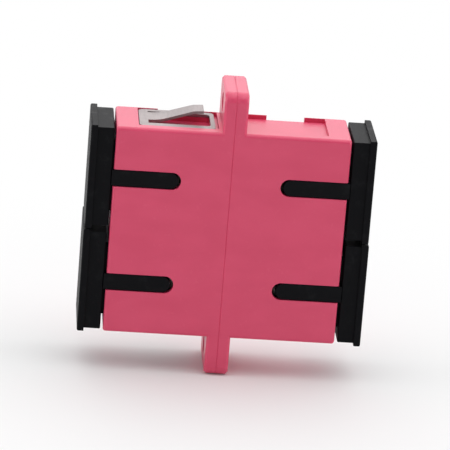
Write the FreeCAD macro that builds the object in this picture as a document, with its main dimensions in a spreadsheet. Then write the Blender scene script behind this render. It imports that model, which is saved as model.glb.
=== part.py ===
"""Duplex SC fibre adapter with a screw flange, a panel spring clip and four dust caps.

Frame: the origin is the centre of the flange, on the plane where the two housing halves meet.
X runs along the fibres, with the clip half towards -X. Z runs across the two channels and
through both flange ears. The keyways open towards -Y and the clip's strap crosses the +Y face.
All lengths are in millimetres.
"""
import FreeCAD, Part
import Sketcher
import math
import os
import re

V = FreeCAD.Vector
TOUCH = 1e-4  # two places nearer than this are the same place

# Driving dimensions, one spreadsheet row each: alias, value, meaning.
SIZES = (
    ("port_pitch", 12.7, "between the two channels' axes"),
    ("body_width", 25.1, "housing across the channels, along Z"),
    ("body_depth", 9.3, "housing from keyway face to strap face, along Y"),
    ("half_length", 13.7, "joint plane to port mouth"),
    ("body_corner", 0.45, "radius along the housing's long edges"),
    ("end_edge", 0.3, "radius round each end face"),
    ("mouth_edge", 0.15, "bevel round each port mouth"),
    ("weld_bevel", 0.05, "bevel that marks the weld between the halves"),
    ("flange_half", 1.4, "each housing half's share of the flange"),
    ("screw_spacing", 30.0, "between the two flange holes"),
    ("screw_hole", 2.4, "flange hole diameter"),
    ("ear_margin", 2.3, "ear beyond the screw hole's centre"),
    ("ear_corner", 1.15, "radius of the ears' outer corners"),
    ("flange_edge", 0.25, "bevel round the flange's outer outline"),
    ("port_width", 9.0, "port opening along Z"),
    ("port_depth", 7.4, "port opening along Y"),
    ("keyway_width", 2.1, "slot for the plug's key"),
    ("keyway_length", 7.9, "slot from the mouth to its round end"),
    ("recess_depth", 0.45, "side recesses and strap groove"),
    ("recess_start", 1.75, "side recess's inner end, from the joint plane"),
    ("recess_end", 11.1, "side recess's outer end"),
    ("recess_corner", 0.5, "radius in the recess's corner beside the flange"),
    ("front_lip", 1.5, "wall kept beside the recess at the keyway face"),
    ("back_lip", 0.5, "wall kept beside the recess at the strap face"),
    ("groove_start", 4.2, "strap groove's inner edge, from the joint plane"),
    ("groove_end", 8.7, "strap groove's outer edge"),
    ("relief_depth", 0.6, "pocket under the tongue, below the recess floor"),
    ("sheet", 0.33, "clip sheet thickness"),
    ("clip_gap", 0.04, "between the clip and the floors that it lies on"),
    ("clip_play", 0.1, "between the clip's edges and the recess walls"),
    ("flange_play", 0.4, "between the side plate and the recess's inner end"),
    ("strap_play", 0.2, "between the strap's edges and the groove walls"),
    ("clip_bend", 0.5, "inside radius where the strap turns the corner"),
    ("plate_corner", 0.75, "radius of the side plates' corners"),
    ("front_strip", 1.3, "plate left between the window and the keyway side"),
    ("back_strip", 0.85, "plate left between the window and the strap side"),
    ("frame_end", 0.5, "plate left between the window and the flange"),
    ("root_strip", 1.05, "plate left behind the tongue's root"),
    ("window_corner", 0.5, "radius in the window's corners"),
    ("tongue_slit", 0.42, "slit between the tongue's root and the strap side"),
    ("tongue_root_width", 3.2, "tongue where it leaves the plate"),
    ("tongue_tip_width", 2.8, "tongue at its free end"),
    ("tongue_rise", 1.35, "tongue tip above the side plate"),
    ("tongue_flat", 1.3, "length of the tongue still in the plate's plane"),
    ("tongue_toe", 1.2, "bent-level length at the tongue's tip"),
    ("toe_rise", 0.08, "how much the toe still climbs"),
    ("panel_gap", 2.1, "tongue tip to flange, where a panel snaps in"),
    ("root_bend", 6.0, "upper bend radius at the tongue's root"),
    ("toe_bend", 1.6, "upper bend radius at the toe"),
    ("shoulder_side", 0.75, "insert plate beyond the port wall along Z"),
    ("shoulder_front", 0.3, "insert plate beyond the port wall along Y"),
    ("insert_play", 0.05, "between an insert's plate and its seat"),
    ("plate_thickness", 1.2, "insert base plate"),
    ("barrel_length", 7.0, "joint plane to the barrel's nose"),
    ("barrel_diameter", 4.8, "barrel outside"),
    ("barrel_root", 0.4, "bevel where the barrel leaves the plate"),
    ("barrel_bevel", 0.35, "bevel outside and inside the barrel's nose"),
    ("sleeve_play", 0.05, "round the sleeve, on the radius"),
    ("sleeve_end_play", 0.15, "at each end of the sleeve"),
    ("ferrule_hole", 2.9, "opening in the barrel's nose"),
    ("arm_play", 0.1, "between a latch arm and the port wall"),
    ("arm_thickness", 1.0, "latch arm"),
    ("arm_width", 3.6, "latch arm along Y"),
    ("arm_length", 8.0, "joint plane to the latch's tip"),
    ("hook_length", 1.6, "latch head"),
    ("hook_land", 0.3, "level part of the latch head"),
    ("hook_reach", 0.5, "latch head beyond the arm's inner face"),
    ("hook_tip", 0.35, "thickness left at the latch's tip"),
    ("sleeve_length", 11.4, "split sleeve"),
    ("sleeve_outside", 3.2, "split sleeve diameter"),
    ("sleeve_bore", 2.5, "ferrule diameter that the sleeve aligns"),
    ("sleeve_slit", 0.5, "slit along the sleeve"),
    ("sleeve_bevel", 0.12, "bevel at the sleeve's inner ends"),
    ("lip_gap", 0.2, "between neighbouring cap lips"),
    ("lip_thickness", 0.8, "cap lip"),
    ("lip_edge", 0.2, "radius round the cap's outer face"),
    ("collar_inset", 0.3, "collar below the lip's edge"),
    ("collar_length", 1.95, "lip to the housing"),
    ("collar_edge", 0.15, "radius round the collar's inner face"),
    ("plug_play", 0.1, "between the cap's plug and the port wall"),
    ("plug_wall", 0.8, "wall of the hollow plug"),
    ("plug_length", 7.6, "plug inside the port"),
    ("plug_corner", 0.35, "radius along the plug's edges"),
    ("plug_lead", 0.25, "bevel round the plug's end"),
    ("latch_clearance", 0.5, "latch tips to the plug's shorter side walls"),
    ("cap_end_wall", 1.25, "closed end of the cap"),
    ("key_play", 0.1, "between the cap's key and the keyway"),
    ("key_inset", 0.1, "key below the housing's face"),
    ("cap_gap_clip_upper", 0.2, "cap's stand-off from the housing"),
    ("cap_gap_clip_lower", 0.3, "cap's stand-off from the housing"),
    ("cap_gap_plain_upper", 0.25, "cap's stand-off from the housing"),
    ("cap_gap_plain_lower", 0.35, "cap's stand-off from the housing"),
)

# Sizes that follow from those above, as formulas over their names.
DERIVED = {
    "half_width": "body_width / 2",
    "half_depth": "body_depth / 2",
    "half_pitch": "port_pitch / 2",
    "ear_end": "screw_spacing / 2 + ear_margin",
    "recess_front": "front_lip - half_depth",
    "recess_back": "half_depth - back_lip",
    "floor_side": "half_width - recess_depth",
    "floor_back": "half_depth - recess_depth",
    "plate_front": "recess_front + clip_play",
    "plate_back": "recess_back - clip_play",
    "plate_start": "recess_start + flange_play",
    "plate_end": "recess_end - clip_play",
    "clip_side": "floor_side + clip_gap",
    "clip_back": "floor_back + clip_gap",
    "window_front": "plate_front + front_strip",
    "window_back": "plate_back - back_strip",
    "window_start": "plate_start + frame_end",
    "window_end": "plate_end - root_strip",
    "tongue_middle": "window_back - tongue_slit - tongue_root_width / 2",
    "tongue_tip": "flange_half + panel_gap",
    "seat_width": "port_width + 2 * shoulder_side",
    "seat_depth": "port_depth + 2 * shoulder_front",
    "arm_outer": "port_width / 2 - arm_play",
    "arm_inner": "arm_outer - arm_thickness",
    "plug_width": "port_width - 2 * plug_play",
    "plug_depth": "port_depth - 2 * plug_play",
    "lip_width": "port_pitch - lip_gap",
    "key_width": "keyway_width - 2 * key_play",
    "key_length": "keyway_length - key_play",
    "side_wall_length": "half_length - arm_length - latch_clearance",
    "cap_length": "lip_thickness + collar_length",
}

doc = FreeCAD.newDocument("fibre_adapter")
sheet = doc.addObject("Spreadsheet::Sheet", "Sizes")


def fill_sheet():
    """Write each driving dimension as a plain number with its alias and its meaning."""
    for row, (alias, size, meaning) in enumerate(SIZES, 1):
        sheet.set(f"A{row}", alias)
        sheet.set(f"B{row}", str(size))
        sheet.set(f"C{row}", meaning)
        sheet.setAlias(f"B{row}", alias)
    doc.recompute()


def linked(formula):
    """The formula with each name turned into the sheet's cells that it stands for."""
    def cell(match):
        name = match.group()
        return f"({linked(DERIVED[name])})" if name in DERIVED else f"Sizes.{name}"
    return re.sub(r"[a-z_]+", cell, formula)


def value(formula):
    """What a formula comes to with the sheet as it stands."""
    return float(sheet.evalExpression(linked(formula)))


# Sketches


def origin_plane(body, role):
    return next(item for item in body.Origin.OriginFeatures if item.Role == role)


def new_sketch(body, name, plane, offset="0"):
    """A sketch on one of the body's origin planes, moved along the plane's normal.

    YZ sketches read (y, z) and face +X, XY sketches (x, y) and +Z, XZ sketches (x, z) and -Y.
    """
    sketch = body.newObject("Sketcher::SketchObject", name)
    sketch.AttachmentSupport = [(origin_plane(body, plane), "")]
    sketch.MapMode = "FlatFace"
    sketch.setExpression(".AttachmentOffset.Base.z", linked(offset))
    return sketch


def tie(sketch, geometry, end, across, up):
    """Hold one point of the sketch at a place that two formulas give."""
    for kind, formula in (("DistanceX", across), ("DistanceY", up)):
        constraint = Sketcher.Constraint(kind, -1, 1, geometry, end, value(formula))
        index = sketch.addConstraint(constraint)
        sketch.setExpression(f"Constraints[{index}]", linked(formula))


def add_polygon(sketch, corners):
    """A closed outline whose corners are pairs of formulas."""
    points = [V(value(across), value(up), 0) for across, up in corners]
    first = sketch.GeometryCount
    for start, end in zip(points, points[1:] + points[:1]):
        sketch.addGeometry(Part.LineSegment(start, end), False)
    for step, (across, up) in enumerate(corners):
        before = first + (step - 1) % len(corners)
        sketch.addConstraint(Sketcher.Constraint("Coincident", before, 2, first + step, 1))
        tie(sketch, first + step, 1, across, up)


def add_box(sketch, low_across, high_across, low_up, high_up):
    add_polygon(sketch, ((low_across, low_up), (high_across, low_up),
                         (high_across, high_up), (low_across, high_up)))


def add_circle(sketch, across, up, diameter):
    centre = V(value(across), value(up), 0)
    circle = Part.Circle(centre, V(0, 0, 1), value(diameter) / 2)
    geometry = sketch.addGeometry(circle, False)
    tie(sketch, geometry, 3, across, up)
    index = sketch.addConstraint(Sketcher.Constraint("Diameter", geometry, value(diameter)))
    sketch.setExpression(f"Constraints[{index}]", linked(diameter))


def add_tongue_slot(sketch, start, length, up, width):
    """A slot with a square end at start and a full round end, length away along +across."""
    radius = value(width) / 2
    low, high = f"({up}) - ({width}) / 2", f"({up}) + ({width}) / 2"
    middle = f"({start}) + ({length}) - ({width}) / 2"
    centre = V(value(middle), value(up), 0)
    low_corner = V(value(start), value(low), 0)
    high_corner = V(value(start), value(high), 0)
    circle = Part.Circle(centre, V(0, 0, 1), radius)
    first = sketch.GeometryCount
    sketch.addGeometry(Part.LineSegment(low_corner, centre - V(0, radius, 0)), False)
    sketch.addGeometry(Part.ArcOfCircle(circle, -math.pi / 2, math.pi / 2), False)
    sketch.addGeometry(Part.LineSegment(centre + V(0, radius, 0), high_corner), False)
    sketch.addGeometry(Part.LineSegment(high_corner, low_corner), False)
    for here, there, kind in ((0, 1, "Tangent"), (1, 2, "Tangent"),
                              (2, 3, "Coincident"), (3, 0, "Coincident")):
        sketch.addConstraint(Sketcher.Constraint(kind, first + here, 2, first + there, 1))
    tie(sketch, first, 1, start, low)
    tie(sketch, first + 3, 1, start, high)
    tie(sketch, first + 1, 3, middle, up)


# Features


def new_body(label):
    body = doc.addObject("PartDesign::Body", label)
    body.Label = label
    return body


def extrude(body, kind, sketch, name, length=None, reverse=False, symmetric=False):
    """Pad or pocket a sketch; without a length a pocket goes right through."""
    feature = body.newObject(f"PartDesign::{kind}", name)
    feature.Profile = sketch
    feature.Reversed = reverse
    if symmetric:
        feature.SideType = "Symmetric"
    if length is None:
        feature.Type = "ThroughAll"
    else:
        feature.setExpression("Length", linked(length))
    before = body.Shape.Volume if body.Tip and not body.Shape.isNull() else 0
    doc.recompute()
    change = feature.Shape.Volume - before
    if change * (1 if kind == "Pad" else -1) <= 0:
        raise RuntimeError(f"{body.Label}: {name} changes the volume by {change:.3f}")
    return feature


def pad(body, sketch, name, length, **options):
    return extrude(body, "Pad", sketch, name, length, **options)


def pocket(body, sketch, name, length=None, **options):
    return extrude(body, "Pocket", sketch, name, length, **options)


def finish_edges(body, kind, name, size, chosen):
    """Fillet or chamfer the tip's edges that the test picks out."""
    base = body.Tip
    names = [f"Edge{number}" for number, edge in enumerate(base.Shape.Edges, 1) if chosen(edge)]
    if not names:
        raise RuntimeError(f"{body.Label}: {name} finds no edge")
    feature = body.newObject(f"PartDesign::{kind}", name)
    feature.Base = (base, names)
    feature.setExpression("Radius" if kind == "Fillet" else "Size", linked(size))
    doc.recompute()
    return feature


def near(number, formula):
    return abs(number - value(formula)) < TOUCH


def reach(edge, axis):
    """The edge's lowest and highest place along an axis."""
    box = edge.BoundBox
    return {"x": (box.XMin, box.XMax), "y": (box.YMin, box.YMax), "z": (box.ZMin, box.ZMax)}[axis]


def lies_at(edge, **places):
    """Whether the whole edge lies at the given formulas' places, such as x="0"."""
    return all(near(end, formula) for axis, formula in places.items()
               for end in reach(edge, axis))


def lies_between(edge, axis, low, high):
    """Whether the whole edge lies between two formulas' places along an axis."""
    start, end = reach(edge, axis)
    return start > value(low) - TOUCH and end < value(high) + TOUCH


def at_either_y(edge, formula, **places):
    """As lies_at, with y at the formula or its negative."""
    return lies_at(edge, y=formula, **places) or lies_at(edge, y=f"-({formula})", **places)


def mirror_down(body, originals=None):
    """Mirror the chosen features, or else the whole solid, from z > 0 to z < 0."""
    mirror = body.newObject("PartDesign::Mirrored", "mirror_down")
    if originals:
        mirror.Originals = originals
    else:
        mirror.TransformMode = "Whole shape"
    mirror.MirrorPlane = (origin_plane(body, "XY_Plane"), [""])
    body.Tip = mirror
    doc.recompute()
    return mirror


def seat(body, end, along="0", up="0"):
    """Place a piece built for the clip end; on the plain end it turns half round about Y."""
    sign = "-" if end == "clip" else ""
    if end == "plain":
        body.Placement.Rotation = FreeCAD.Rotation(V(0, 1, 0), 180)
    body.setExpression(".Placement.Base.x", linked(f"{sign}({along})"))
    body.setExpression(".Placement.Base.z", linked(up))
    doc.recompute()


# Pieces. Each housing half, insert and cap is built with the port's mouth towards -X.


def housing_half(end):
    """One moulded half: half the flange, two ports with keyways, recesses for the clip."""
    body = new_body(f"{end}_end_housing")
    shell = new_sketch(body, "shell_outline", "YZ_Plane")
    add_box(shell, "-half_depth", "half_depth", "0", "half_width")
    pad(body, shell, "shell", "half_length", reverse=True)
    finish_edges(body, "Fillet", "shell_corners", "body_corner",
                 lambda edge: at_either_y(edge, "half_depth", z="half_width"))
    finish_edges(body, "Fillet", "end_edge", "end_edge",
                 lambda edge: lies_at(edge, x="-half_length") and not lies_at(edge, z="0"))
    add_ear(body)
    finish_edges(body, "Chamfer", "weld_bevel", "weld_bevel",
                 lambda edge: lies_at(edge, x="0") and not lies_at(edge, z="0"))
    cut_port(body)
    cut_clip_recess(body)
    if end == "clip":
        cut_tongue_relief(body)
    mirror_down(body)
    seat(body, end)


def add_ear(body):
    """The half flange's ear with its screw hole."""
    ear = new_sketch(body, "ear_outline", "YZ_Plane")
    add_box(ear, "-half_depth", "half_depth", "0", "ear_end")
    pad(body, ear, "ear", "flange_half", reverse=True)
    finish_edges(body, "Fillet", "ear_corners", "ear_corner",
                 lambda edge: at_either_y(edge, "half_depth", z="ear_end"))
    finish_edges(body, "Chamfer", "flange_edge", "flange_edge",
                 lambda edge: lies_at(edge, x="-flange_half")
                 and lies_between(edge, "z", "half_width", "ear_end")
                 and not lies_at(edge, z="half_width"))


def cut_port(body):
    """The port with its bevelled mouth, its keyway, the insert's seat and the screw hole."""
    depth = ("-port_depth / 2", "port_depth / 2")
    width = ("half_pitch - port_width / 2", "half_pitch + port_width / 2")
    port = new_sketch(body, "port_outline", "YZ_Plane")
    add_box(port, *depth, *width)
    pocket(body, port, "port")
    finish_edges(body, "Chamfer", "mouth_bevel", "mouth_edge",
                 lambda edge: lies_at(edge, x="-half_length")
                 and lies_between(edge, "y", *depth) and lies_between(edge, "z", *width))

    seat_outline = new_sketch(body, "insert_seat_outline", "YZ_Plane")
    add_box(seat_outline, "-seat_depth / 2", "seat_depth / 2",
            "half_pitch - seat_width / 2", "half_pitch + seat_width / 2")
    pocket(body, seat_outline, "insert_seat", "plate_thickness")

    hole = new_sketch(body, "screw_hole_outline", "YZ_Plane")
    add_circle(hole, "0", "screw_spacing / 2", "screw_hole")
    pocket(body, hole, "screw_hole")

    keyway = new_sketch(body, "keyway_outline", "XZ_Plane", "half_depth")
    add_tongue_slot(keyway, "-half_length", "keyway_length", "half_pitch", "keyway_width")
    pocket(body, keyway, "keyway", "half_depth")


def cut_tongue_relief(body):
    """The pocket under the side plate's window, where the pressed tongue has room."""
    relief = new_sketch(body, "tongue_relief_outline", "XY_Plane", "floor_side")
    add_box(relief, "-window_end", "-window_start", "window_front", "window_back")
    pocket(body, relief, "tongue_relief", "relief_depth")


def cut_clip_recess(body):
    """The recess for a side plate, open to the strap's groove across the back."""
    recess = new_sketch(body, "side_recess_outline", "XY_Plane", "half_width")
    add_polygon(recess, (
        ("-recess_end", "recess_front"), ("-recess_start", "recess_front"),
        ("-recess_start", "recess_back"), ("-groove_start", "recess_back"),
        ("-groove_start", "half_depth"), ("-groove_end", "half_depth"),
        ("-groove_end", "recess_back"), ("-recess_end", "recess_back")))
    pocket(body, recess, "side_recess", "recess_depth")
    finish_edges(body, "Fillet", "recess_corner", "recess_corner",
                 lambda edge: lies_at(edge, x="-recess_start", y="recess_front"))

    groove = new_sketch(body, "strap_groove_outline", "XZ_Plane", "-half_depth")
    add_box(groove, "-groove_end", "-groove_start", "0", "half_width")
    pocket(body, groove, "strap_groove", "recess_depth", reverse=True)
    finish_edges(body, "Fillet", "strap_corner", "clip_bend - clip_gap",
                 lambda edge: lies_at(edge, y="floor_back", z="floor_side"))


def retaining_clip():
    """One sheet: a strap across the back that turns into a side plate with a lanced tongue."""
    body = new_body("retaining_clip")
    strap = new_sketch(body, "strap_outline", "YZ_Plane", "strap_play - groove_end")
    add_polygon(strap, (
        ("clip_back", "0"), ("clip_back + sheet", "0"),
        ("clip_back + sheet", "clip_side + sheet"),
        ("plate_back - back_strip / 2", "clip_side + sheet"),
        ("plate_back - back_strip / 2", "clip_side"), ("clip_back", "clip_side")))
    pad(body, strap, "strap", "groove_end - groove_start - 2 * strap_play")
    finish_edges(body, "Fillet", "bend_inside", "clip_bend",
                 lambda edge: lies_at(edge, y="clip_back", z="clip_side"))
    finish_edges(body, "Fillet", "bend_outside", "clip_bend + sheet",
                 lambda edge: lies_at(edge, y="clip_back + sheet", z="clip_side + sheet"))

    plate = new_sketch(body, "side_plate_outline", "XY_Plane", "clip_side")
    add_box(plate, "-plate_end", "-plate_start", "plate_front", "plate_back")
    pad(body, plate, "side_plate", "sheet")

    def plate_corner(edge):
        box = edge.BoundBox
        return (near(box.ZLength, "sheet") and any(
            lies_at(edge, x=along, y=across)
            for along in ("-plate_end", "-plate_start")
            for across in ("plate_front", "plate_back")))
    finish_edges(body, "Fillet", "plate_corners", "plate_corner", plate_corner)

    window = new_sketch(body, "window_outline", "XY_Plane", "clip_side + sheet")
    add_box(window, "-window_end", "-window_start", "window_front", "window_back")
    pocket(body, window, "window", "sheet")
    finish_edges(body, "Fillet", "window_corners", "window_corner",
                 lambda edge: lies_at(edge, x="-window_start", y="window_front")
                 or lies_at(edge, x="-window_start", y="window_back"))
    add_tongue(body)
    mirror_down(body)


def add_tongue(body):
    """The lanced tongue: level at its root, a ramp, a level toe, narrower towards its tip."""
    top = "clip_side + sheet"
    knee = "-tongue_tip - tongue_toe"
    knee_rise = "tongue_rise - toe_rise"
    side = new_sketch(body, "tongue_profile", "XZ_Plane", "-tongue_middle")
    add_polygon(side, (
        ("-window_end", "clip_side"), ("tongue_flat - window_end", "clip_side"),
        (knee, f"clip_side + {knee_rise}"), ("-tongue_tip", "clip_side + tongue_rise"),
        ("-tongue_tip", f"{top} + tongue_rise"), (knee, f"{top} + {knee_rise}"),
        ("tongue_flat - window_end", top), ("-window_end", top)))
    pad(body, side, "tongue", "tongue_root_width", symmetric=True)
    for name, along, up, radius in (
            ("root_above", "tongue_flat - window_end", top, "root_bend"),
            ("root_below", "tongue_flat - window_end", "clip_side", "root_bend + sheet"),
            ("toe_above", knee, f"{top} + {knee_rise}", "toe_bend + sheet"),
            ("toe_below", knee, f"clip_side + {knee_rise}", "toe_bend")):
        finish_edges(body, "Fillet", name, radius,
                     lambda edge: lies_at(edge, x=along, z=up))

    taper = new_sketch(body, "taper_outline", "XY_Plane", f"{top} + 2 * tongue_rise")
    for sign in ("-", "+"):
        root = f"tongue_middle {sign} tongue_root_width / 2"
        tip = f"tongue_middle {sign} tongue_tip_width / 2"
        beside = f"{root} {sign} tongue_slit / 2"
        add_polygon(taper, (("-window_end", beside), ("-tongue_tip", beside),
                            ("-tongue_tip", tip), ("-window_end", root)))
    pocket(body, taper, "taper", "2 * tongue_rise + 2 * sheet")


def latch_insert(end, level):
    """Base plate, sleeve barrel with a lipped nose, and two latch arms with hooked heads."""
    body = new_body(f"latch_insert_{end}_{level}")
    plate = new_sketch(body, "plate_outline", "YZ_Plane")
    add_box(plate, "insert_play - seat_depth / 2", "seat_depth / 2 - insert_play",
            "insert_play - seat_width / 2", "seat_width / 2 - insert_play")
    pad(body, plate, "plate", "plate_thickness", reverse=True)

    barrel = new_sketch(body, "barrel_outline", "YZ_Plane")
    add_circle(barrel, "0", "0", "barrel_diameter")
    pad(body, barrel, "barrel", "barrel_length", reverse=True)
    finish_edges(body, "Chamfer", "barrel_root", "barrel_root",
                 lambda edge: lies_at(edge, x="-plate_thickness")
                 and near(edge.BoundBox.YMax, "barrel_diameter / 2"))

    bore = new_sketch(body, "sleeve_seat_outline", "YZ_Plane")
    add_circle(bore, "0", "0", "sleeve_outside + 2 * sleeve_play")
    pocket(body, bore, "sleeve_seat", "sleeve_length / 2 + sleeve_end_play")
    nose = new_sketch(body, "nose_outline", "YZ_Plane")
    add_circle(nose, "0", "0", "ferrule_hole")
    pocket(body, nose, "nose_opening")
    finish_edges(body, "Chamfer", "nose_bevels", "barrel_bevel",
                 lambda edge: lies_at(edge, x="-barrel_length"))

    head = "arm_length - hook_length"
    arm = new_sketch(body, "latch_arm_profile", "XZ_Plane")
    add_polygon(arm, (
        ("-plate_thickness", "arm_inner"), ("-plate_thickness", "arm_outer"),
        ("-arm_length", "arm_outer"), ("-arm_length", "arm_outer - hook_tip"),
        (f"-({head}) - hook_land", "arm_inner - hook_reach"),
        (f"-({head})", "arm_inner - hook_reach"), (f"-({head})", "arm_inner")))
    latch = pad(body, arm, "latch_arm", "arm_width", symmetric=True)
    mirror_down(body, [latch])
    seat(body, end, up="half_pitch" if level == "upper" else "-half_pitch")


def alignment_sleeve(level):
    """A ceramic tube, slit along its length so that it grips the two ferrules."""
    body = new_body(f"alignment_sleeve_{level}")
    ring = new_sketch(body, "ring_outline", "YZ_Plane")
    add_circle(ring, "0", "0", "sleeve_outside")
    add_circle(ring, "0", "0", "sleeve_bore")
    pad(body, ring, "tube", "sleeve_length", symmetric=True)
    finish_edges(body, "Chamfer", "end_bevels", "sleeve_bevel",
                 lambda edge: near(edge.BoundBox.YMax, "sleeve_bore / 2")
                 and near(edge.BoundBox.XLength, "0"))
    slit = new_sketch(body, "slit_outline", "YZ_Plane", "sleeve_length")
    add_box(slit, "0", "sleeve_outside", "-sleeve_slit / 2", "sleeve_slit / 2")
    pocket(body, slit, "slit")
    seat(body, "clip", up="half_pitch" if level == "upper" else "-half_pitch")


def dust_cap(end, level):
    """Lip, collar and hollow plug; the key rib fills the keyway, the side walls are short."""
    body = new_body(f"dust_cap_{end}_{level}")
    collar_wide, collar_deep = "lip_width / 2 - collar_inset", "half_depth - collar_inset"
    lip = new_sketch(body, "lip_outline", "YZ_Plane", "-cap_length")
    add_box(lip, "-half_depth", "half_depth", "-lip_width / 2", "lip_width / 2")
    pad(body, lip, "lip", "lip_thickness")
    finish_edges(body, "Fillet", "lip_edge", "lip_edge",
                 lambda edge: lies_at(edge, x="-cap_length"))
    collar = new_sketch(body, "collar_outline", "YZ_Plane")
    add_box(collar, f"-({collar_deep})", collar_deep, f"-({collar_wide})", collar_wide)
    pad(body, collar, "collar", "collar_length", reverse=True)
    finish_edges(body, "Fillet", "collar_edge", "collar_edge", lambda edge: lies_at(edge, x="0"))
    plug = new_sketch(body, "plug_outline", "YZ_Plane")
    add_box(plug, "-plug_depth / 2", "plug_depth / 2", "-plug_width / 2", "plug_width / 2")
    pad(body, plug, "plug", "plug_length")
    finish_edges(body, "Fillet", "plug_corners", "plug_corner",
                 lambda edge: at_either_y(edge, "plug_depth / 2")
                 and near(edge.BoundBox.XLength, "plug_length"))
    finish_edges(body, "Chamfer", "plug_lead", "plug_lead",
                 lambda edge: lies_at(edge, x="plug_length"))

    hollow = new_sketch(body, "hollow_outline", "YZ_Plane", "plug_length")
    add_box(hollow, "plug_wall - plug_depth / 2", "plug_depth / 2 - plug_wall",
            "plug_wall - plug_width / 2", "plug_width / 2 - plug_wall")
    pocket(body, hollow, "hollow", "plug_length + cap_length - cap_end_wall")

    notch = new_sketch(body, "side_notch_outline", "XZ_Plane")
    for sign in ("", "-"):
        add_box(notch, "side_wall_length", "plug_length + plug_lead",
                f"{sign}(plug_width / 2 - plug_wall)", f"{sign}(plug_width / 2 + plug_wall)")
    pocket(body, notch, "side_notches", "2 * half_depth", symmetric=True)

    key = new_sketch(body, "key_outline", "XZ_Plane", "plug_depth / 2 - plug_wall / 2")
    add_tongue_slot(key, "0", "key_length", "0", "key_width")
    pad(body, key, "key", "half_depth - key_inset - plug_depth / 2 + plug_wall / 2")
    seat(body, end, along=f"half_length + cap_gap_{end}_{level}",
         up="half_pitch" if level == "upper" else "-half_pitch")


def save_pieces():
    """Check every object and every piece, then write one STEP file for each body."""
    failed = [item.Name for item in doc.Objects if {"Invalid", "Error"} & set(item.State)]
    pieces = [item for item in doc.Objects if item.TypeId == "PartDesign::Body"]
    failed += [piece.Label for piece in pieces
               if piece.Shape.isNull() or not piece.Shape.isValid() or not piece.Shape.Solids]
    if failed:
        raise RuntimeError(f"these objects failed: {failed}")
    os.makedirs("parts", exist_ok=True)
    for piece in pieces:
        piece.Shape.exportStep(f"parts/{piece.Label}.step")
        print(f"{piece.Label}: {len(piece.Shape.Solids)} solid, {piece.Shape.Volume:.2f} mm3")


fill_sheet()
for end in ("clip", "plain"):
    housing_half(end)
    for level in ("upper", "lower"):
        latch_insert(end, level)
        dust_cap(end, level)
retaining_clip()
for level in ("upper", "lower"):
    alignment_sleeve(level)
doc.recompute()
save_pieces()
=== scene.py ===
"""Finishes for a duplex SC fibre adapter: housing halves, clip, latch inserts, sleeves, dust caps.

Each solid of the frame keeps its shape. Its edges get the small radius that a mould or a press tool
leaves, and its surface gets the finish of its material. The plain housing half is shown by a copy
of its mesh, in which the four rounded end corners are made alike. Lengths are in metres, in the
frame's axes: X along the fibres, -Y the keyway face, Z up through both flange ears.
"""
import math

import bpy
import numpy as np
from mathutils import Matrix, Vector


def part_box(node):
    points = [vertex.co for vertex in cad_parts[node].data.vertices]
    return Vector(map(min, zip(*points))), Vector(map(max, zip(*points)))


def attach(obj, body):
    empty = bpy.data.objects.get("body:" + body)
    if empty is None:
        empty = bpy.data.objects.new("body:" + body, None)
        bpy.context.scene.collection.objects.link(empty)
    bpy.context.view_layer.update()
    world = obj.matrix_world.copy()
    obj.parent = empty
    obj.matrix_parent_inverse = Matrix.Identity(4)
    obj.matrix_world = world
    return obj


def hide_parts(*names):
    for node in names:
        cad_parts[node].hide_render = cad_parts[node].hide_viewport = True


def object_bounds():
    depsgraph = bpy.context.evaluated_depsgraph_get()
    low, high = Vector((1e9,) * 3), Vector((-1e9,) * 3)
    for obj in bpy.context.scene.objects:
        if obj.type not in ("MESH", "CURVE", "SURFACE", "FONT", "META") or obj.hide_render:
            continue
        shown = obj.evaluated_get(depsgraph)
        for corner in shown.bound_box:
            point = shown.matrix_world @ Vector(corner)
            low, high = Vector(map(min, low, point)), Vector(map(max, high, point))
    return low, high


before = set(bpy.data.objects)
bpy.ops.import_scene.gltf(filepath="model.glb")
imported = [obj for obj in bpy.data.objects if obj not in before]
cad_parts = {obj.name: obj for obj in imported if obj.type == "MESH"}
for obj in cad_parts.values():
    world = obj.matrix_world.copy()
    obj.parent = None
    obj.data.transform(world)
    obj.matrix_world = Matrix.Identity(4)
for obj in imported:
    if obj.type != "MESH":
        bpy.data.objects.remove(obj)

MM = 0.001
cad_low, cad_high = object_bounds()
centre = (cad_low + cad_high) / 2

# The view
DISTANCE = 442.8 * MM
AZIMUTH, ELEVATION, ROLL = (math.radians(angle) for angle in (-4.04, 17.22, -4.59))
LENS, SENSOR = 300.0, 36.0

# Soft square panels: side, direction from the adapter, distance (all lengths in metres) and watts
LAMPS = {
    "overhead": {"side": 0.8, "direction": (0.08, 0.12, 1.0), "away": 0.5, "watts": 2.4},
    "behind": {"side": 0.4, "direction": (0.0, 1.0, 0.5), "away": 0.55, "watts": 0.28},
    "front_fill": {"side": 0.5, "direction": (-0.45, -1.0, 0.35), "away": 0.6, "watts": 0.2},
    "left_side": {"side": 0.25, "direction": (-1.0, -0.15, 0.25), "away": 0.45, "watts": 0.55},
    "right_side": {"side": 0.25, "direction": (1.0, -0.15, 0.25), "away": 0.45, "watts": 0.55}}

# The floor: its radius, the points of its grid, how far it lies under the lower ear, and between
# which distances from the middle its shadow thins out
FLOOR_REACH = 2.5
FLOOR_RINGS, FLOOR_SPOKES = 40, 96
FLOOR_DROP = 0.02 * MM
SHADOW_TO, WHITE_FROM = 12 * MM, 75 * MM

# The room: where it is bright, how bright the far side of it is, the cosines between which it
# turns from one to the other, and how much of it lights dull surfaces
ROOM_BRIGHT = (0.0, 0.6, 0.8)
ROOM_IN_FRONT = 0.35
ROOM_DIM_TO, ROOM_BRIGHT_FROM = -0.45, 0.5
ROOM_AS_LIGHT = 0.55

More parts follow.
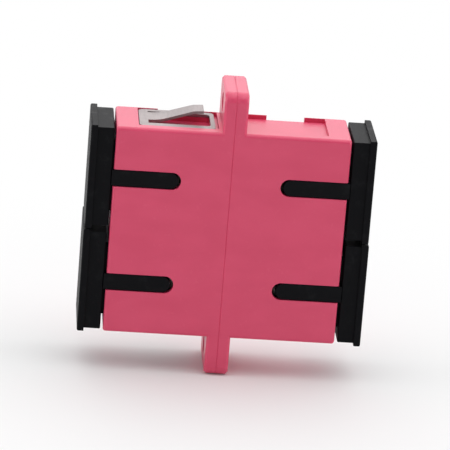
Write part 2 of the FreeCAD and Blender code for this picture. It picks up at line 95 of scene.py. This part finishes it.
# For each material, the radius that tools leave on its edges and the steps that round it
EDGES = {"housing_pink": (0.07 * MM, 3), "clip_steel": (0.035 * MM, 2),
         "insert_white": (0.07 * MM, 2), "sleeve_ceramic": (0.03 * MM, 2),
         "cap_black": (0.09 * MM, 3)}

# Points closer than this are one, a bend below FLAT_WITHIN is none and one above SHARP_FROM an edge
JOIN_WITHIN = 0.002 * MM
FLAT_WITHIN = math.radians(0.5)
SHARP_FROM = math.radians(50)

# The housing's own radii along its sides and round its end, and a width too small to matter
CORNER_RADIUS = 0.45 * MM
END_RADIUS = 0.3 * MM
HAIR = 0.001 * MM


class Value:
    """A node's output. Arithmetic on it adds the Math node that works the result out."""

    def __init__(self, net, socket):
        self.net = net
        self.socket = socket

    def math(self, operation, *numbers):
        return self.net.node("Math", {"operation": operation}, dict(enumerate(numbers)))

    def __add__(self, other):
        return self.math("ADD", self, other)

    def __sub__(self, other):
        return self.math("SUBTRACT", self, other)

    def __rsub__(self, other):
        return self.math("SUBTRACT", other, self)

    def __mul__(self, other):
        return self.math("MULTIPLY", self, other)

    __radd__ = __add__
    __rmul__ = __mul__


class Net:
    """The node tree of a material or of the world."""

    def __init__(self, tree):
        self.tree = tree
        tree.nodes.clear()

    def node(self, kind, settings=None, sockets=None, output=0):
        """Add a node: its settings come first, then a number or a link for each socket."""
        made = self.tree.nodes.new(f"ShaderNode{kind}")
        for name, setting in (settings or {}).items():
            setattr(made, name, setting)
        for key, given in (sockets or {}).items():
            if isinstance(given, Value):
                self.tree.links.new(given.socket, made.inputs[key])
            else:
                made.inputs[key].default_value = given
        return Value(self, made.outputs[output]) if made.outputs else None

    def place(self, stretch=(1, 1, 1)):
        """Where a point of the piece is, stretched along the axes."""
        where = self.node("TexCoord", output="Object")
        return self.node("Mapping", None, {"Vector": where, "Scale": stretch})

    def noise(self, size, detail=2.0, roughness=0.5, stretch=(1, 1, 1)):
        """Cloudy noise from 0 to 1 whose lumps are about size across."""
        return self.node("TexNoise", None, {"Vector": self.place(stretch), "Scale": 1 / size,
                                            "Detail": detail, "Roughness": roughness})

    def step(self, value, low, high):
        """0 below low, 1 above high and smooth between them."""
        return self.node("MapRange", {"interpolation_type": "SMOOTHSTEP"},
                         {"Value": value, "From Min": low, "From Max": high})

    def blend(self, factor, first, second):
        """One colour turning into another."""
        colours = {key: (*colour, 1) if isinstance(colour, tuple) else colour
                   for key, colour in ((6, first), (7, second))}
        return self.node("Mix", {"data_type": "RGBA"}, {0: factor, **colours}, output=2)

    def bump(self, height, depth, below=None):
        """A surface normal for a height from 0 to 1 that is depth deep."""
        sockets = {"Height": height, "Distance": depth}
        if below:
            sockets["Normal"] = below
        return self.node("Bump", None, sockets)


def new_material(name):
    material = bpy.data.materials.new(name)
    material.use_nodes = True
    return material, Net(material.node_tree)


def close(net, shader, kind="OutputMaterial"):
    net.node(kind, None, {"Surface": shader})


# Materials


def housing_pink():
    """Moulded pink plastic: spark-eroded grain, faint flow marks, light soaking in a little."""
    material, net = new_material("housing_pink")
    grain = net.noise(0.11 * MM, 3)
    flow = net.noise(4.2 * MM, 3, 0.5, (0.7, 1, 1.3))
    specks = net.step(net.noise(0.5 * MM, 2), 0.62, 0.75)
    colour = net.blend(net.step(flow, 0.3, 0.7), (0.68, 0.05, 0.13), (0.72, 0.06, 0.146))
    colour = net.blend(specks * 0.12, colour, (0.80, 0.13, 0.22))
    close(net, net.node("BsdfPrincipled", None, {
        "Base Color": colour,
        "Roughness": 0.38 + 0.1 * (grain - 0.5) + 0.06 * (flow - 0.5),
        "Normal": net.bump(flow, 0.006 * MM, net.bump(grain, 0.005 * MM)),
        "IOR": 1.49, "Specular IOR Level": 0.5, "Coat Weight": 0.15, "Coat Roughness": 0.25,
        "Subsurface Weight": 0.06, "Subsurface Radius": (1.0, 0.35, 0.4),
        "Subsurface Scale": 0.5 * MM}))
    return material


def clip_steel():
    """Rolled spring steel: satin streaks along the strip, soft stains, brighter raised spots."""
    material, net = new_material("clip_steel")
    along_strip = (1, 0.06, 0.06)
    streaks = net.noise(0.14 * MM, 2, 0.5, along_strip)
    bands = net.noise(0.8 * MM, 2, 0.5, along_strip)
    stains = net.noise(1.7 * MM, 4, 0.6)
    colour = net.blend(net.step(stains, 0.35, 0.7), (0.315, 0.28, 0.28), (0.365, 0.325, 0.325))
    colour = net.blend(net.step(streaks, 0.4, 0.8) * 0.4, colour, (0.27, 0.24, 0.24))
    close(net, net.node("BsdfPrincipled", None, {
        "Base Color": colour, "Metallic": 1.0,
        "Roughness": 0.5 + 0.1 * (streaks - 0.5) + 0.12 * (stains - 0.5),
        "Normal": net.bump(streaks, 0.0003 * MM, net.bump(bands, 0.0012 * MM))}))
    return material


def insert_white():
    """Natural moulded plastic of the latch inserts: ivory, waxy, slightly see-through at edges."""
    material, net = new_material("insert_white")
    grain = net.noise(0.15 * MM, 3)
    clouds = net.noise(2.2 * MM, 3)
    colour = net.blend(net.step(clouds, 0.3, 0.7), (0.74, 0.71, 0.62), (0.80, 0.78, 0.71))
    close(net, net.node("BsdfPrincipled", None, {
        "Base Color": colour, "Roughness": 0.4 + 0.12 * (grain - 0.5),
        "Normal": net.bump(grain, 0.004 * MM), "IOR": 1.5,
        "Subsurface Weight": 0.2, "Subsurface Radius": (1.0, 0.9, 0.7),
        "Subsurface Scale": 0.6 * MM}))
    return material


def sleeve_ceramic():
    """Ground zirconia: pale, glossy, with fine rings from the grinding wheel round the tube."""
    material, net = new_material("sleeve_ceramic")
    rings = net.noise(0.06 * MM, 2, 0.5, (1, 0.05, 0.05))
    clouds = net.noise(1.1 * MM, 3)
    colour = net.blend(clouds, (0.86, 0.845, 0.80), (0.90, 0.89, 0.86))
    close(net, net.node("BsdfPrincipled", None, {
        "Base Color": colour, "Roughness": 0.16 + 0.14 * rings,
        "Normal": net.bump(rings, 0.001 * MM), "IOR": 2.1}))
    return material


def cap_black():
    """Soft black moulded plastic: matte grain with rubbed, slightly greyer patches."""
    material, net = new_material("cap_black")
    grain = net.noise(0.13 * MM, 4, 0.6)
    rub = net.noise(1.6 * MM, 4, 0.65)
    worn = net.step(rub + 0.4 * (grain - 0.5), 0.52, 0.75)
    colour = net.blend(worn, (0.003, 0.0031, 0.0042), (0.0075, 0.0078, 0.009))
    close(net, net.node("BsdfPrincipled", None, {
        "Base Color": colour,
        "Roughness": 0.5 + 0.2 * (grain - 0.5) - 0.08 * worn,
        "Normal": net.bump(rub, 0.006 * MM, net.bump(grain, 0.009 * MM)),
        "IOR": 1.48, "Specular IOR Level": 0.09}))
    return material


# Edges


def corners_of(mesh):
    """Each triangle's points and normals, of shape (triangles, 3, 3), and whether it is smooth."""
    mesh.calc_loop_triangles()
    points = np.empty(3 * len(mesh.vertices))
    mesh.vertices.foreach_get("co", points)
    normals = np.empty(3 * len(mesh.loops))
    mesh.corner_normals.foreach_get("vector", normals)
    ends = np.empty(3 * len(mesh.loop_triangles), int)
    mesh.loop_triangles.foreach_get("vertices", ends)
    loops = np.empty_like(ends)
    mesh.loop_triangles.foreach_get("loops", loops)
    smooth = np.empty(len(mesh.polygons), bool)
    mesh.polygons.foreach_get("use_smooth", smooth)
    polygons = np.empty(len(mesh.loop_triangles), int)
    mesh.loop_triangles.foreach_get("polygon_index", polygons)
    return (points.reshape(-1, 3)[ends].reshape(-1, 3, 3),
            normals.reshape(-1, 3)[loops].reshape(-1, 3, 3), smooth[polygons])


def even_corners(node, body):
    """Stand in for the plain housing half with a copy whose four rounded end corners are alike.

    The mesh in model.glb may lay the patch that rounds an end corner several times over. Such a
    patch is the triangles between the end edge and the end face that are no further from the
    corner's axis than its radius. The patch with the fewest triangles is mirrored to all four
    corners."""
    faces, normals, smooth = corners_of(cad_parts[node].data)
    end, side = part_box(node)[1].x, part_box(node)[1].y
    top = faces[faces[..., 0] > end / 2][:, 2].max()
    patches = {}
    for mirror in ((1, 1, 1), (1, 1, -1), (1, -1, 1), (1, -1, -1)):
        turned = faces * mirror
        from_axis = np.hypot(turned[..., 1] - side + CORNER_RADIUS,
                             turned[..., 2] - top + CORNER_RADIUS).max(1)
        near_end = turned[..., 0].min(1)
        patches[mirror] = ((from_axis < CORNER_RADIUS + HAIR) & (near_end < end - HAIR)
                           & (near_end > end - END_RADIUS - HAIR))
    plainest = min(patches, key=lambda mirror: patches[mirror].sum())
    kept = ~np.any(list(patches.values()), 0)
    new_faces, new_normals, new_smooth = [faces[kept]], [normals[kept]], [smooth[kept]]
    for mirror in patches:
        turn = np.multiply(plainest, mirror)
        # A single mirroring turns a triangle inside out, so its corners are then taken backwards
        order = slice(None, None, int(turn.prod()))
        new_faces.append((faces[patches[plainest]] * turn)[:, order])
        new_normals.append((normals[patches[plainest]] * turn)[:, order])
        new_smooth.append(smooth[patches[plainest]])
    points = np.concatenate(new_faces).reshape(-1, 3)
    mesh = bpy.data.meshes.new(f"{node}_skin")
    mesh.from_pydata(points, [], np.arange(len(points)).reshape(-1, 3).tolist())
    mesh.polygons.foreach_set("use_smooth", np.concatenate(new_smooth))
    mesh.normals_split_custom_set(np.concatenate(new_normals).reshape(-1, 3))
    piece = bpy.data.objects.new(f"{node}_skin", mesh)
    bpy.context.scene.collection.objects.link(piece)
    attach(piece, body)
    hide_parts(node)
    return piece


def soften(piece, width, steps):
    """Round a solid's edges: join its triangles, merge the flat ones, bevel what stays sharp."""
    weld = piece.modifiers.new("join", "WELD")
    weld.merge_threshold = JOIN_WITHIN
    flat = piece.modifiers.new("merge_flats", "DECIMATE")
    flat.decimate_type = "DISSOLVE"
    flat.angle_limit = FLAT_WITHIN
    bevel = piece.modifiers.new("round_edges", "BEVEL")
    bevel.limit_method = "ANGLE"
    bevel.angle_limit = SHARP_FROM
    bevel.width = width
    bevel.segments = steps
    bevel.use_clamp_overlap = True
    bevel.harden_normals = True


# Stage


def floor():
    """A round floor: rings of points at radius r = reach * t * t and angle 2 * pi * u, all level.

    It lies a hair under the lower ear, so that the two faces aren't in one plane."""
    reach, rings, spokes = FLOOR_REACH, FLOOR_RINGS, FLOOR_SPOKES
    t, u = np.meshgrid(np.linspace(0.02, 1, rings), np.arange(spokes) / spokes, indexing="ij")
    across = reach * t * t
    points = np.stack([centre.x + across * np.cos(2 * np.pi * u),
                       centre.y + across * np.sin(2 * np.pi * u),
                       np.full_like(t, cad_low.z - FLOOR_DROP)], -1).reshape(-1, 3)
    ring, spoke = np.meshgrid(np.arange(rings - 1), np.arange(spokes), indexing="ij")
    turn = (spoke + 1) % spokes
    faces = np.stack([ring * spokes + spoke, (ring + 1) * spokes + spoke,
                      (ring + 1) * spokes + turn, ring * spokes + turn], -1).reshape(-1, 4)
    mesh = bpy.data.meshes.new("floor")
    mesh.from_pydata(points, [], [*faces.tolist(), list(range(spokes))])
    plate = bpy.data.objects.new("floor", mesh)
    bpy.context.scene.collection.objects.link(plate)
    mesh.materials.append(paper())


def shows(net):
    """1 on a ray that shows the surroundings: seen straight, mirrored or through glass."""
    camera, glossy, through = (net.node("LightPath", output=f"Is {kind} Ray")
                               for kind in ("Camera", "Glossy", "Transmission"))
    return net.node("Clamp", None, {"Value": camera + glossy + through})


def paper():
    """Pale paper that catches the shadow near the adapter and turns plain white further out."""
    material, net = new_material("paper")
    place = net.place()
    away = net.node("VectorMath", {"operation": "LENGTH"}, {0: place}, output="Value")
    fade = net.step(away, SHADOW_TO, WHITE_FROM)
    tone = net.blend(net.noise(40 * MM, 3), (0.80, 0.80, 0.805), (0.83, 0.83, 0.83))
    matte = net.node("BsdfDiffuse", None, {"Color": tone})
    white = net.node("Emission", None, {"Strength": 1.0})
    close(net, net.node("MixShader", None, {0: fade * shows(net), 1: matte, 2: white}))
    return material


def surroundings():
    """A pale room, brighter overhead and behind than in front, and plain white where it is seen."""
    world = bpy.data.worlds.new("surroundings")
    bpy.context.scene.world = world
    world.use_nodes = True
    net = Net(world.node_tree)
    toward = net.node("TexCoord", output="Generated")
    behind = net.node("VectorMath", {"operation": "DOT_PRODUCT"},
                      {0: toward, 1: ROOM_BRIGHT}, output="Value")
    bright = net.step(behind, ROOM_DIM_TO, ROOM_BRIGHT_FROM)
    room = ROOM_IN_FRONT + (1 - ROOM_IN_FRONT) * bright
    seen = net.node("LightPath", output="Is Camera Ray")
    mirrored = ROOM_AS_LIGHT + (1 - ROOM_AS_LIGHT) * shows(net)
    strength = seen + (1 - seen) * room * mirrored
    close(net, net.node("Background", None, {"Color": (1, 1, 1, 1), "Strength": strength}),
          "OutputWorld")


def lamp(name, side, direction, away, watts):
    """A soft square panel that faces the adapter from a direction."""
    light = bpy.data.lights.new(name, "AREA")
    light.size = side
    light.energy = watts
    panel = bpy.data.objects.new(name, light)
    toward = Vector(direction).normalized()
    panel.location = centre + toward * away
    panel.rotation_mode = "QUATERNION"
    panel.rotation_quaternion = toward.to_track_quat("Z", "Y")
    bpy.context.scene.collection.objects.link(panel)


def camera():
    """The view: from the keyway side, a little above, turned a little about the line of sight."""
    back = Vector((math.sin(AZIMUTH) * math.cos(ELEVATION),
                   -math.cos(AZIMUTH) * math.cos(ELEVATION), math.sin(ELEVATION)))
    data = bpy.data.cameras.new("camera")
    data.lens = LENS
    data.sensor_width = SENSOR
    data.clip_start = 0.01
    data.clip_end = 20
    view = bpy.data.objects.new("camera", data)
    level = (-back).to_track_quat("-Z", "Y").to_matrix().to_4x4()
    view.matrix_world = (Matrix.Translation(centre + back * DISTANCE) @ level
                         @ Matrix.Rotation(-ROLL, 4, "Z"))
    bpy.context.scene.collection.objects.link(view)
    bpy.context.scene.camera = view


MATERIALS = {make.__name__: make() for make in
             (housing_pink, clip_steel, insert_white, sleeve_ceramic, cap_black)}

for node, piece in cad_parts.items():
    slot = piece.material_slots[0].material.name.split(".")[0]
    if node == "plain_end_housing":
        piece = even_corners(node, "adapter")
        piece.data.materials.append(MATERIALS[slot])
    else:
        for shown in piece.material_slots:
            shown.material = MATERIALS[slot]
    soften(piece, *EDGES[slot])

floor()
surroundings()
for name, panel in LAMPS.items():
    lamp(name, **panel)
camera()
bpy.context.scene.view_settings.view_transform = "Standard"
